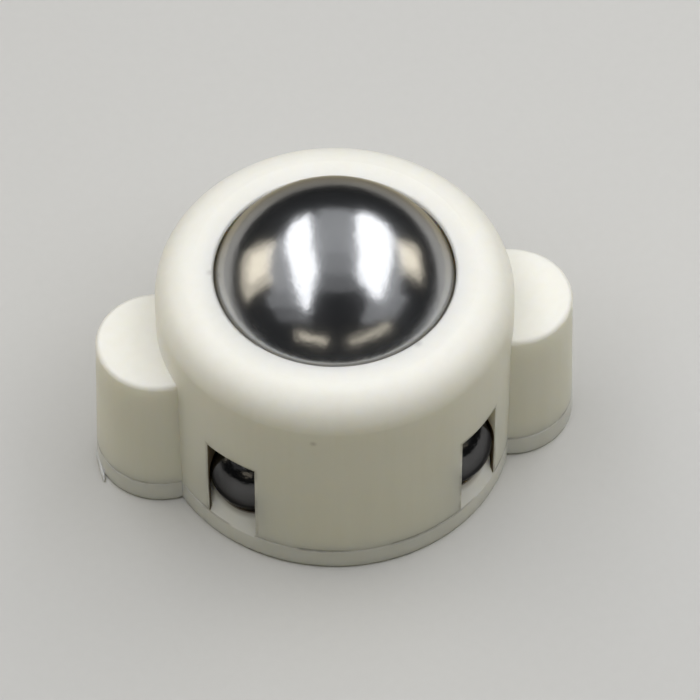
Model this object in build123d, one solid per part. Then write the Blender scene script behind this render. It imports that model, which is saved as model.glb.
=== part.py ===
from build123d import *
import os
from math import cos, radians, sin, sqrt, tan

# A small ball castor that stands on its mounting face with the ball on top.
# The origin is the middle of the mounting face, +Z points up through the ball,
# and +X runs through the two screw ears. The photographed front is -Y.
# Lengths are in millimetres and angles in degrees.

# Steel balls
ball_diameter = 12.7
support_ball_diameter = 4.5
contact_angle = 39.4        # of the line between two touching balls, below level
support_angle = 45.0        # from +X round to the first support ball
rolling_gap = 0.03          # between the main ball and a support ball

# Socket of the housing round the main ball
bore_clearance = 0.25       # between the ball and the straight bore
lip_clearance = 0.05        # between the ball and the retaining lip
lip_overlap = 0.5           # how far the lip reaches in over the ball's equator
lip_edge_radius = 0.17      # round on the lip's upper edge

# Body of the housing
top_edge_radius = 1.8
pocket_clearance = 0.05     # between a support ball and its pocket in the housing
pocket_break = 0.265        # how far a pocket runs out through the body's wall
window_width = 2.8
window_rise = 0.23          # from a support ball's top up to its window's top edge
window_depth = 1.0          # from the body's wall in to a window's inner end

# Screw ears
pilot_diameter = 2.5        # blind hole for a self-cutting screw
screw_wall = 0.85           # plastic between a pilot hole and the bore
ear_wall = 1.95             # plastic round a pilot hole at the mounting face
ear_height = 8.7
ear_roof = 1.2              # plastic over the end of a pilot hole
ear_draft = 1.2             # moulding taper of an ear
ear_edge_radius = 0.25

# Base plate
base_thickness = 1.3
foot_edge_radius = 0.2      # round on the mounting face's outer edge
seam_edge = 0.06            # broken edge along the seam, on both mouldings
screw_clearance = 0.35      # round a screw where it passes the plate
seat_floor = 0.4            # plastic between the plate's upper face and a seat
seat_clearance = 0.12       # between a support ball and its seat
seat_wall = 0.8             # plastic between a seat and the middle well
pad_gap = 0.2               # between the raised pad and the main ball
pad_clearance = 0.1         # round the pad in the bore and the pockets
key_clearance = 0.05        # each side of a key in its slot
key_draft = 20.0            # inward lean of a key's outer face

# Places and sizes that follow from the driving dimensions
ball_radius = ball_diameter / 2
support_radius = support_ball_diameter / 2
centre_distance = ball_radius + support_radius + rolling_gap
support_circle = centre_distance * cos(radians(contact_angle))
support_height = base_thickness + seat_floor + seat_clearance + support_radius
ball_height = support_height + centre_distance * sin(radians(contact_angle))

bore_radius = ball_radius + bore_clearance
lip_radius = ball_radius - lip_overlap
lip_height = ball_height + sqrt((ball_radius + lip_clearance) ** 2 - lip_radius ** 2)
socket_height = lip_height - sqrt(bore_radius ** 2 - lip_radius ** 2)
body_top = lip_height + lip_edge_radius

pocket_radius = support_radius + pocket_clearance
seat_radius = support_radius + seat_clearance
body_radius = support_circle + pocket_radius - pocket_break
window_top = support_height + support_radius + window_rise
window_start = body_radius - window_depth
pad_top = ball_height - ball_radius - pad_gap
well_radius = support_circle - seat_radius - seat_wall

pilot_radius = pilot_diameter / 2
pilot_top = ear_height - ear_roof
screw_hole_radius = pilot_radius + screw_clearance
screw_offset = bore_radius + screw_wall + pilot_radius

# Corners of the body that the support balls sit in, counter-clockwise from the first
support_corners = ("rear_right", "rear_left", "front_left", "front_right")


def at_supports(height):
    """One location for each support ball's corner, turned to face outwards."""
    step = 360 / len(support_corners)
    turns = [support_angle + step * corner for corner in range(len(support_corners))]
    return [Rot(0, 0, turn) * Pos(support_circle, 0, height) for turn in turns]


def at_ears():
    """The axes of the two screw ears."""
    return [Pos(-screw_offset, 0, 0), Pos(screw_offset, 0, 0)]


def copies(shape, places):
    """The same shape at each of several places."""
    return [place * shape for place in places]


def turned(profile):
    """A closed outline in the XZ plane, turned about the Z axis."""
    return revolve(make_face(profile), Axis.Z)


def quarter_round(start, end, side):
    """A quarter arc from start to end that leaves start along the given direction."""
    return TangentArc(start, end, tangent=side)


def ear_radius(height):
    """The tapered ear's radius at a height above the mounting face."""
    return pilot_radius + ear_wall - height * tan(radians(ear_draft))


def body_form():
    """The housing's round body without its bore: straight wall and a well-rounded top edge."""
    shoulder = body_top - top_edge_radius
    foot = base_thickness + seam_edge
    outline = Polyline(
        (0, 0, body_top),
        (0, 0, base_thickness),
        (body_radius - seam_edge, 0, base_thickness),
        (body_radius, 0, foot),
        (body_radius, 0, shoulder),
    )
    crown = (body_radius - top_edge_radius, 0, body_top)
    edge = quarter_round((body_radius, 0, shoulder), crown, (0, 0, 1))
    return turned([outline, edge, Line(crown, (0, 0, body_top))])


def ear_form():
    """One tapered, flat-topped ear of the housing, on the Z axis."""
    shoulder = ear_height - ear_edge_radius
    foot = base_thickness + seam_edge
    wall = ear_radius(shoulder)
    outline = Polyline(
        (0, 0, ear_height),
        (0, 0, base_thickness),
        (ear_radius(base_thickness) - seam_edge, 0, base_thickness),
        (ear_radius(foot), 0, foot),
        (wall, 0, shoulder),
    )
    crown = (wall - ear_edge_radius, 0, ear_height)
    edge = quarter_round((wall, 0, shoulder), crown, (0, 0, 1))
    return turned([outline, edge, Line(crown, (0, 0, ear_height))])


def socket_form():
    """The space for the main ball: straight bore, domed shoulder, lip and its rounded mouth."""
    opening = lip_radius + lip_edge_radius
    bore = Polyline((0, 0, body_top), (0, 0, 0), (bore_radius, 0, 0), (bore_radius, 0, socket_height))
    dome = quarter_round((bore_radius, 0, socket_height), (lip_radius, 0, lip_height), (0, 0, 1))
    mouth = quarter_round((lip_radius, 0, lip_height), (opening, 0, body_top), (0, 0, 1))
    return turned([bore, dome, mouth, Line((opening, 0, body_top), (0, 0, body_top))])


def pocket_form():
    """A round-ended upright pocket that a support ball goes up into, its centre on the origin."""
    shaft = Pos(0, 0, -support_height / 2) * Cylinder(pocket_radius, support_height)
    return shaft + Sphere(pocket_radius)


def window_form():
    """A slot through the body's wall, from below its foot to the window's top edge."""
    depth = 2 * window_depth
    slot = Box(depth, window_width, window_top, align=(Align.MIN, Align.CENTER, Align.MIN))
    return Pos(window_start - support_circle, 0, -support_height) * slot


def pilot_form():
    """A blind pilot hole up an ear."""
    return Cylinder(pilot_radius, pilot_top, align=(Align.CENTER, Align.CENTER, Align.MIN))


def make_housing():
    """The upper moulding: body, ears, ball socket, support pockets, windows and pilot holes."""
    housing = body_form() + copies(ear_form(), at_ears())
    housing -= socket_form()
    housing -= copies(pocket_form(), at_supports(support_height))
    housing -= copies(window_form(), at_supports(support_height))
    housing -= copies(pilot_form(), at_ears())
    return housing


def plate_form(radius_at):
    """A round plate of the base's thickness with a rounded foot and a broken seam edge."""
    foot_radius = radius_at(foot_edge_radius)
    brim = base_thickness - seam_edge
    sole = (foot_radius - foot_edge_radius, 0, 0)
    rim = (foot_radius, 0, foot_edge_radius)
    edge = quarter_round(sole, rim, (1, 0, 0))
    outline = Polyline(
        rim,
        (radius_at(brim), 0, brim),
        (radius_at(base_thickness) - seam_edge, 0, base_thickness),
        (0, 0, base_thickness),
        (0, 0, 0),
        sole,
    )
    return turned([edge, outline])


def body_outline_radius(height):
    """The body's wall is straight, so its radius is the same at each height."""
    return body_radius


def pad_form():
    """The raised pad: a disc in the bore, a lobe in each pocket and a leaning key in each slot."""
    key_width = window_width - 2 * key_clearance
    key = Rectangle(body_radius, key_width, align=(Align.MIN, Align.CENTER))
    outline = Circle(bore_radius - pad_clearance)
    outline += copies(Circle(pocket_radius - pad_clearance), at_supports(0))
    outline += copies(key, at_supports(0))
    root = base_thickness - seam_edge
    rise = pad_top - root
    lean = rise * tan(radians(key_draft))
    skin = Cone(body_radius, body_radius - lean, rise, align=(Align.CENTER, Align.CENTER, Align.MIN))
    return Pos(0, 0, root) * (extrude(outline, amount=rise) & skin)


def make_base_plate():
    """The lower moulding: plate, pad with its middle well, four seats and two screw holes."""
    base = plate_form(body_outline_radius) + copies(plate_form(ear_radius), at_ears())
    base += pad_form()
    well = Cylinder(well_radius, pad_top, align=(Align.CENTER, Align.CENTER, Align.MIN))
    base -= Pos(0, 0, base_thickness) * well
    base -= copies(Sphere(seat_radius), at_supports(support_height))
    base -= copies(Cylinder(screw_hole_radius, 2 * base_thickness), at_ears())
    return base


def make_main_ball():
    """The ball that rolls."""
    return Pos(0, 0, ball_height) * Sphere(ball_radius)


def make_support_balls():
    """The four small balls that the main ball rolls on, by corner."""
    places = at_supports(support_height)
    return {
        f"support_ball_{corner}": place * Sphere(support_radius)
        for corner, place in zip(support_corners, places)
    }


os.makedirs("parts", exist_ok=True)
nodes = {
    "housing": make_housing(),
    "base_plate": make_base_plate(),
    "main_ball": make_main_ball(),
    **make_support_balls(),
}
for name, solid in nodes.items():
    export_step(solid, f"parts/{name}.step")
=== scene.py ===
from math import cos, pi, radians, sin, tan

import bmesh
import bpy
from mathutils import Matrix, Vector


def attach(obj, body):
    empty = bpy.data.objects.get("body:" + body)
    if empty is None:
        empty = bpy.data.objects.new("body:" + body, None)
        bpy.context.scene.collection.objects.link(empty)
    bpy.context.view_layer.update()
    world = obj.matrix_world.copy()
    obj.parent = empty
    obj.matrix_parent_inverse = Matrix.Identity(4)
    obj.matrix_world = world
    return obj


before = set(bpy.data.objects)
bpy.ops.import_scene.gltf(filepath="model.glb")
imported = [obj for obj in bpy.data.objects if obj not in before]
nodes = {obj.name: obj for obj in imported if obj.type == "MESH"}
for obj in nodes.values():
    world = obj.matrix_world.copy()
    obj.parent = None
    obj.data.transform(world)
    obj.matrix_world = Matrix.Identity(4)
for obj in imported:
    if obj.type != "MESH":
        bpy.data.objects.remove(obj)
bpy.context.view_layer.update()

# A small ball castor: a steel ball that rolls on four smaller balls between two white
# plastic mouldings. Everything below is in metres, and mm turns millimetres into them.
mm = 0.001


# Base plate. The lower half of the case: a flat injection moulding in white plastic, a
# little cooler than the housing, with a raised pad whose four keys close the housing's
# slots. Its upper edge has taken up dark grease from the balls. Its seats, dark with grease,
# and the plate round them carry painted shade from the balls above.
def shader(tree, kind, sockets=None, **settings):
    """One shader node with its settings, and its input sockets given a value or a link."""
    made = tree.nodes.new("ShaderNode" + kind)
    for name, value in settings.items():
        setattr(made, name, value)
    for name, value in (sockets or {}).items():
        if isinstance(value, bpy.types.NodeSocket):
            tree.links.new(value, made.inputs[name])
        else:
            made.inputs[name].default_value = value
    return made


def maths(tree, operation, first, second=0.0):
    """One step of arithmetic on two numbers or sockets."""
    return shader(tree, "Math", {0: first, 1: second}, operation=operation).outputs[0]


def product(tree, first, *others):
    """Numbers or sockets multiplied together."""
    for other in others:
        first = maths(tree, "MULTIPLY", first, other)
    return first


def largest(tree, first, *others):
    """The largest of several numbers or sockets."""
    for other in others:
        first = maths(tree, "MAXIMUM", first, other)
    return first


def fade(tree, value, start, end):
    """One before start, nothing past end, and smooth between."""
    sockets = {"Value": value, "From Min": start, "From Max": end, "To Min": 1.0, "To Max": 0.0}
    return shader(tree, "MapRange", sockets, interpolation_type="SMOOTHSTEP").outputs[0]


def position(tree):
    """The place on the piece, in millimetres."""
    place = shader(tree, "TexCoord").outputs["Object"]
    scaled = shader(tree, "VectorMath", {0: place, "Scale": 1 / mm}, operation="SCALE")
    return scaled.outputs[0]


def patches(tree, place, scale, detail=3.0):
    """A cloudy value from 0 to 1, in so many patches to the millimetre."""
    sockets = {"Vector": place, "Scale": scale, "Detail": detail}
    return shader(tree, "TexNoise", sockets).outputs["Fac"]


def tinted(tree, amount, colour, over):
    """A colour laid over another by an amount."""
    sockets = {0: amount, 6: over, 7: colour}
    return shader(tree, "Mix", sockets, data_type="RGBA").outputs[2]


def corner_places(tree, place):
    """Across and along the nearest of the four diagonals that the support balls lie on."""
    turn = (0, 0, radians(45))
    turned = shader(tree, "Mapping", {"Vector": place, "Rotation": turn}).outputs[0]
    parts = shader(tree, "SeparateXYZ", {0: turned}).outputs
    first = maths(tree, "ABSOLUTE", parts["X"])
    second = maths(tree, "ABSOLUTE", parts["Y"])
    across = maths(tree, "MINIMUM", first, second)
    return across, maths(tree, "MAXIMUM", first, second), parts["Z"]


def ball_reach(tree, across, along, height, upright=False):
    """How far a point is from a support ball's middle, or from its upright axis lower down."""
    ball_circle, ball_middle = 6.669, 4.07
    out = maths(tree, "SUBTRACT", along, ball_circle)
    up = maths(tree, "SUBTRACT", height, ball_middle)
    if upright:
        up = maths(tree, "MAXIMUM", up, 0.0)
    reach = shader(tree, "CombineXYZ", {"X": out, "Y": across, "Z": up}).outputs[0]
    return shader(tree, "VectorMath", {0: reach}, operation="LENGTH").outputs["Value"]


def moulded_plastic(name, colour, cloud):
    """Satin, slightly translucent plastic with clouds, upright flow lines and a fine grain."""
    material = bpy.data.materials.new(name)
    material.use_nodes = True
    tree = material.node_tree
    surface = tree.nodes["Principled BSDF"]
    place = position(tree)
    drawn = shader(tree, "Mapping", {"Vector": place, "Scale": (1.6, 1.6, 0.07)}).outputs[0]
    lines = patches(tree, drawn, 1.3, 4.0)
    clouds = patches(tree, place, 0.3)
    base = tinted(tree, product(tree, clouds, lines), cloud, colour)
    gloss = shader(tree, "MapRange", {"Value": lines, "To Min": 0.36, "To Max": 0.5}).outputs[0]
    tree.links.new(gloss, surface.inputs["Roughness"])
    grain = patches(tree, place, 9.0, 2.0)
    relief = maths(tree, "ADD", grain, product(tree, lines, 1.5))
    bump = shader(tree, "Bump", {"Strength": 0.25, "Distance": 0.006 * mm, "Height": relief})
    tree.links.new(bump.outputs[0], surface.inputs["Normal"])
    surface.inputs["Subsurface Weight"].default_value = 0.6
    surface.inputs["Subsurface Radius"].default_value = (1.0, 0.9, 0.7)
    surface.inputs["Subsurface Scale"].default_value = 1.8 * mm
    return material, tree, surface, place, base


plate_plastic, tree, surface, place, base = moulded_plastic(
    "plate_plastic", (0.87, 0.87, 0.85, 1.0), (0.81, 0.805, 0.78, 1.0))
# Dark grease brown, used both for grease and for painted shade.
grime_and_shade = (0.075, 0.05, 0.03, 1.0)
seat_radius, seam_height = 2.37, 1.3
across, along, height = corner_places(tree, place)
reach = ball_reach(tree, across, along, height)
# Painted shade and grease: the seats are painted dark where the support balls sit in them.
seats = product(tree, fade(tree, reach, seat_radius + 0.03, seat_radius + 0.13), 0.85)
# Painted shade round each seat, under the support ball's overhang.
rim_shade = product(tree, fade(tree, reach, seat_radius + 0.08, seat_radius + 0.43), 0.45)
blots = fade(tree, patches(tree, place, 0.55), 0.38, 0.58)
plate_side = fade(tree, height, seam_height - 0.12, seam_height - 0.02)
plate_all = fade(tree, height, seam_height, seam_height + 0.06)
seam = product(tree, maths(tree, "SUBTRACT", plate_all, plate_side), blots, 0.4)
stain_and_shade = largest(tree, seats, rim_shade, seam)
tree.links.new(tinted(tree, stain_and_shade, grime_and_shade, base), surface.inputs["Base Color"])
nodes["base_plate"].data.materials[0] = plate_plastic


# Support balls. Four hardened steel balls that lie in the plate's seats and carry the
# main ball. They were polished once and are worn, with a thin film of dark grease, and
# their steel is painted near black as painted shade from the dark hollows they sit in.
def polished_steel(name, bright, filmed, edge, haze, wear):
    """Steel with soft polish marks of some depth and a thin uneven film of grease."""
    material = bpy.data.materials.new(name)
    material.use_nodes = True
    tree = material.node_tree
    surface = tree.nodes["Principled BSDF"]
    place = position(tree)
    film = patches(tree, place, 0.35, 5.0)
    tree.links.new(tinted(tree, film, filmed, bright), surface.inputs["Base Color"])
    sockets = {"Value": film, "To Min": haze, "To Max": haze + 0.12}
    tree.links.new(shader(tree, "MapRange", sockets).outputs[0], surface.inputs["Roughness"])
    marks = patches(tree, place, 1.1, 6.0)
    bump = shader(tree, "Bump", {"Strength": 0.3, "Distance": wear * mm, "Height": marks})
    tree.links.new(bump.outputs[0], surface.inputs["Normal"])
    surface.inputs["Metallic"].default_value = 1.0
    surface.inputs["Specular Tint"].default_value = edge
    return material


# Painted shade: the steel colours are set near black, for the dark hollows the balls sit in and
# mirror.
support_steel_painted_shade = polished_steel(
    "support_steel_painted_shade", bright=(0.15, 0.15, 0.155, 1.0), filmed=(0.04, 0.038, 0.035, 1.0),
    edge=(0.3, 0.3, 0.3, 1.0), haze=0.1, wear=0.18)
for corner in ("front_left", "front_right", "rear_left", "rear_right"):
    nodes["support_ball_" + corner].data.materials[0] = support_steel_painted_shade


# Main ball. One polished steel ball, held down by the housing's lip and free to roll any
# way on the four support balls.
ball_steel = polished_steel(
    "ball_steel", bright=(0.55, 0.56, 0.58, 1.0), filmed=(0.43, 0.44, 0.46, 1.0),
    edge=(0.44, 0.39, 0.29, 1.0), haze=0.13, wear=0.05)
nodes["main_ball"].data.materials[0] = ball_steel


# Housing. The upper half of the case: a round body with two screw ears, moulded in warm
# white plastic and pressed down over the pad. Grease and dust show as brown edges along
# its seam and round its slots. Painted shade darkens the pocket walls round the support
# balls, the side walls of its slots, more on the left and less low down, and the inside of
# its lip against the ball.
housing_plastic, tree, surface, place, base = moulded_plastic(
    "housing_plastic", (0.885, 0.875, 0.82, 1.0), (0.82, 0.805, 0.71, 1.0))
slot_half_width, slot_top, pocket_radius, lip_radius = 1.4, 6.55, 2.3, 5.85
across, along, height = corner_places(tree, place)
blots = fade(tree, patches(tree, place, 0.55), 0.38, 0.62)
beside = maths(tree, "SUBTRACT", across, slot_half_width)
above = maths(tree, "SUBTRACT", height, slot_top)
slot_edge = largest(tree, beside, above)
slots = product(tree, fade(tree, slot_edge, 0.0, 0.22), blots, 0.5)
# Painted shade on the slots' side walls: darker on the left, lighter low down by the key.
sideways = shader(tree, "SeparateXYZ", {0: place}).outputs["X"]
jamb_shade_leftward = maths(tree, "ADD", product(tree, fade(tree, sideways, -3.0, 4.0), 0.6), 0.3)
raised = maths(tree, "SUBTRACT", 1.0, product(tree, fade(tree, height, 2.2, 3.2), 0.7))
jamb_shade = product(tree, fade(tree, slot_edge, 0.005, 0.03), jamb_shade_leftward, raised)
# Painted shade on the pocket walls round the support balls.
reach = ball_reach(tree, across, along, height, upright=True)
pocket_shade = fade(tree, reach, pocket_radius + 0.03, pocket_radius + 0.08)
seam = product(tree, fade(tree, height, seam_height + 0.02, seam_height + 0.2), blots, 0.55)
flat = shader(tree, "CombineXYZ", {"X": across, "Y": along}).outputs[0]
radius = shader(tree, "VectorMath", {0: flat}, operation="LENGTH").outputs["Value"]
# Painted shade on the lip's inner edge and in the bore, where the lip meets the ball.
lip = product(tree, fade(tree, radius, lip_radius + 0.03, lip_radius + 0.13), 0.3)
stain_and_shade = largest(tree, slots, jamb_shade, pocket_shade, seam, lip)
specks = {(3.18, -5.09, 12.25): 0.34, (-5.94, 0.83, 12.2): 0.3, (-2.41, -8.36, 9.81): 0.25}
for spot, size in specks.items():
    gap = shader(tree, "VectorMath", {0: place, 1: spot}, operation="DISTANCE").outputs["Value"]
    stain_and_shade = largest(tree, stain_and_shade, product(tree, fade(tree, gap, 0.0, size), 0.3))
tree.links.new(tinted(tree, stain_and_shade, grime_and_shade, base), surface.inputs["Base Color"])
nodes["housing"].data.materials[0] = housing_plastic


# Moulding flash. A sliver of plastic left where the plate's mould halves met, still
# hanging from the foot of the left ear.
flash = bmesh.new()
root = Vector((-11.72, 0.3, 0.32))
bmesh.ops.create_circle(flash, segments=10, radius=0.15 * mm, cap_ends=True)
bmesh.ops.rotate(flash, verts=flash.verts, matrix=Matrix.Rotation(radians(90), 3, "X"))
bmesh.ops.translate(flash, verts=flash.verts, vec=root * mm)
tip = flash.faces[:][0]
growth = {(-0.08, -0.3, 0.04): 1.27, (-0.04, -0.3, -0.06): 0.7, (0.01, -0.45, -0.08): 0.77,
          (0.03, -0.45, -0.08): 0.85, (0.01, -0.35, -0.05): 0.55}
for step, narrowing in growth.items():
    tip = bmesh.ops.extrude_discrete_faces(flash, faces=[tip])["faces"][0]
    bmesh.ops.translate(flash, verts=tip.verts, vec=Vector(step) * mm)
    middle = Matrix.Translation(-tip.calc_center_median())
    bmesh.ops.scale(flash, verts=tip.verts, vec=(narrowing,) * 3, space=middle)
bmesh.ops.recalc_face_normals(flash, faces=flash.faces)
flash_mesh = bpy.data.meshes.new("moulding_flash")
flash.to_mesh(flash_mesh)
flash.free()
flash_mesh.shade_smooth()
flash_mesh.materials.append(plate_plastic)
moulding_flash = bpy.data.objects.new("moulding_flash", flash_mesh)
bpy.context.scene.collection.objects.link(moulding_flash)
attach(moulding_flash, "castor_body")


# Floor. A wide sheet of plain pale paper that the castor stands on. It is seen and
# mirrored as pale as it is, and throws only a little warm light back on the castor.
floor_shape = bmesh.new()
bmesh.ops.create_grid(floor_shape, x_segments=1, y_segments=1, size=3.0)
bmesh.ops.translate(floor_shape, verts=floor_shape.verts, vec=(0, 0, -0.01 * mm))
floor_mesh = bpy.data.meshes.new("floor")
floor_shape.to_mesh(floor_mesh)
floor_shape.free()
floor = bpy.data.objects.new("floor", floor_mesh)
bpy.context.scene.collection.objects.link(floor)
paper = bpy.data.materials.new("pale_paper")
paper.use_nodes = True
tree = paper.node_tree
surface = tree.nodes["Principled BSDF"]
fibres = patches(tree, position(tree), 2.0)
tone = tinted(tree, fibres, (0.58, 0.58, 0.57, 1.0), (0.60, 0.60, 0.59, 1.0))
rays = shader(tree, "LightPath").outputs
seen = largest(tree, *[rays[f"Is {kind} Ray"] for kind in ("Camera", "Glossy", "Transmission")])
bounce = (0.27, 0.255, 0.13, 1.0)
tree.links.new(tinted(tree, seen, tone, bounce), surface.inputs["Base Color"])
surface.inputs["Roughness"].default_value = 0.9
surface.inputs["Specular IOR Level"].default_value = 0.1
floor_mesh.materials.append(paper)


# Light. Two glowing softboxes overhead, left and right of the camera's line, in a dim tent
# of level panels, with warm cards at the sides and low in front for the ball to mirror. A
# fill over the middle lights the plastic and isn't mirrored.
view_turn = radians(-9.369)
lamp_height = 0.1
lamp_rise = Vector((0, 0, 10 * mm))


def lamp(name, middle, size, radiance, colour=(1.0, 1.0, 1.0), level=False):
    """A soft panel whose place is given in lamp heights: right, away and up from the ball."""
    panel = bpy.data.lights.new(name, "AREA")
    panel.shape = "RECTANGLE"
    panel.size, panel.size_y = size[0] * lamp_height, size[1] * lamp_height
    panel.energy = radiance * pi * panel.size * panel.size_y
    panel.color = colour
    stand = bpy.data.objects.new(name, panel)
    turn = Matrix.Rotation(view_turn, 3, "Z")
    stand.location = turn @ Vector(middle) * lamp_height + lamp_rise
    if level:
        stand.rotation_euler = (0, 0, view_turn)
    else:
        stand.rotation_euler = (turn @ -Vector(middle)).to_track_quat("-Z", "Y").to_euler()
    stand.visible_camera = False
    bpy.context.scene.collection.objects.link(stand)
    return stand


def softbox(name, radiance, outline):
    """A level glowing panel over the castor, given by its corners to the right and away."""
    shape = bmesh.new()
    shape.faces.new([shape.verts.new((right, away, 1.0)) for right, away in outline])
    bmesh.ops.scale(shape, verts=shape.verts, vec=(lamp_height,) * 3)
    bmesh.ops.rotate(shape, verts=shape.verts, matrix=Matrix.Rotation(view_turn, 3, "Z"))
    bmesh.ops.translate(shape, verts=shape.verts, vec=lamp_rise)
    mesh = bpy.data.meshes.new(name)
    shape.to_mesh(mesh)
    shape.free()
    panel = bpy.data.objects.new(name, mesh)
    panel.visible_camera = False
    bpy.context.scene.collection.objects.link(panel)
    glow = bpy.data.materials.new(name)
    glow.use_nodes = True
    surface = glow.node_tree.nodes["Principled BSDF"]
    surface.inputs["Base Color"].default_value = (0.0, 0.0, 0.0, 1.0)
    surface.inputs["Emission Color"].default_value = (1.0, 1.0, 1.0, 1.0)
    surface.inputs["Emission Strength"].default_value = radiance
    mesh.materials.append(glow)


def overhead(name, left, right, near, far, radiance):
    """A level lamp over the castor, given by its sides in lamp heights."""
    middle = ((left + right) / 2, (near + far) / 2, 1.0)
    return lamp(name, middle, (right - left, far - near), radiance, level=True)


def card(name, bearing, rise, width, depth, radiance):
    """A warm card that faces the ball, its place and its size given in degrees."""
    distance = 1.4
    turn, lift = radians(bearing), radians(rise)
    middle = Vector((sin(turn) * cos(lift), cos(turn) * cos(lift), sin(lift))) * distance
    size = [2 * distance * tan(radians(angle / 2)) for angle in (width, depth)]
    lamp(name, middle, size, radiance, colour=(1.0, 0.9, 0.71))


softbox("softbox_left", 2.5, [
    (-0.45, 1.35), (-0.75, 1.18), (-0.86, 0.85), (-0.80, 0.40), (-0.73, -0.05), (-0.69, -0.45),
    (-0.69, -0.95), (-0.56, -0.95), (-0.37, -0.50), (-0.26, -0.15), (-0.31, 0.35), (-0.36, 0.90)])
softbox("softbox_right", 2.4, [
    (0.45, 1.45), (0.36, 1.10), (0.32, 0.55), (0.34, -0.12), (0.42, -0.32), (0.74, -0.62),
    (1.06, -0.62), (1.02, -0.30), (1.01, 0.03), (1.08, 0.48), (1.18, 1.10), (1.05, 1.40),
    (0.75, 1.52)])
overhead("ceiling", -0.29, 0.33, 0.15, 1.45, 0.45)
overhead("ceiling_middle", -0.29, 0.33, -0.20, 0.15, 0.33)
overhead("ceiling_near", -0.29, 0.40, -0.50, -0.20, 0.18)
overhead("skirt_left", -1.50, -0.80, -0.40, 0.85, 0.45)
overhead("skirt_left_near", -2.10, -0.70, -0.90, -0.40, 0.3)
overhead("apron_left", -2.00, -0.60, -1.45, -0.97, 0.18)
overhead("skirt_right", 1.08, 1.65, -0.40, 1.00, 0.45)
overhead("skirt_right_near", 1.07, 2.60, -0.63, -0.40, 0.4)
overhead("apron_right", 0.68, 2.40, -1.40, -0.64, 0.36)
fill = overhead("fill", -0.60, 0.60, -0.75, 0.40, 1.9)
fill.visible_glossy = False
card("card_left", -75, 22, 36, 30, 0.9)
card("card_left_middle", -73, 24, 22, 17, 0.8)
card("card_right", 69, 24, 28, 21, 0.9)
card("card_right_middle", 68, 25, 16, 13, 0.8)
card("card_front_left", -160, 20.5, 26, 7, 1.0)
card("card_front_right", 148, 20, 38, 6, 1.0)

world = bpy.data.worlds.new("room")
bpy.context.scene.world = world
world.use_nodes = True
room = world.node_tree.nodes["Background"]
room.inputs["Color"].default_value = (0.94, 0.97, 1.0, 1.0)
room.inputs["Strength"].default_value = 0.03


# Camera. It looks down on the front from a little to the left, through a long lens.
view_height = radians(51.419)
level = cos(view_height)
away = Vector((sin(view_turn) * level, -cos(view_turn) * level, sin(view_height)))
lens = bpy.data.cameras.new("camera")
lens.sensor_width = 36.0
lens.lens = 315.13
lens.clip_start, lens.clip_end = 0.01, 20.0
camera = bpy.data.objects.new("camera", lens)
camera.location = Vector((-29.703, -184.559, 240.477)) * mm
camera.rotation_euler = (-away).to_track_quat("-Z", "Y").to_euler()
bpy.context.scene.collection.objects.link(camera)
bpy.context.scene.camera = camera
bpy.context.scene.view_settings.view_transform = "Standard"
